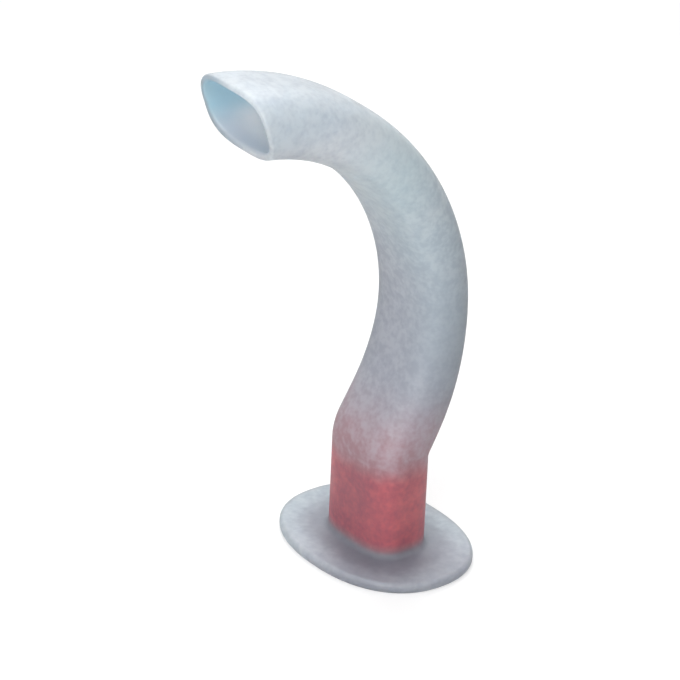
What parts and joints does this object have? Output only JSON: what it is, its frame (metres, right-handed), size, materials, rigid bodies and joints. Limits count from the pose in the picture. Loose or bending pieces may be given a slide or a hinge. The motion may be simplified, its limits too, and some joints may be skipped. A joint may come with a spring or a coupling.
{
  "type": "oropharyngeal airway",
  "caption": "Curved oval oropharyngeal airway in clear soft plastic, with a flange at its mouth end and a red bite block inside.",
  "frame": {"origin": "centre of the whole part's footprint, on the plane of the flange's outer face", "axes": "+Z from the flange's outer face to the top of the curve, +X to the palate side, so that the tip points to -X, and Y from cheek to cheek"},
  "size_m": [0.0516, 0.039, 0.1],
  "materials": {
    "clear_soft_plastic": "satin, translucent",
    "red_hard_plastic": "satin"
  },
  "bodies": {
    "root": {"airway_body": "clear_soft_plastic", "bite_block": "red_hard_plastic"}
  },
  "joints": []
}
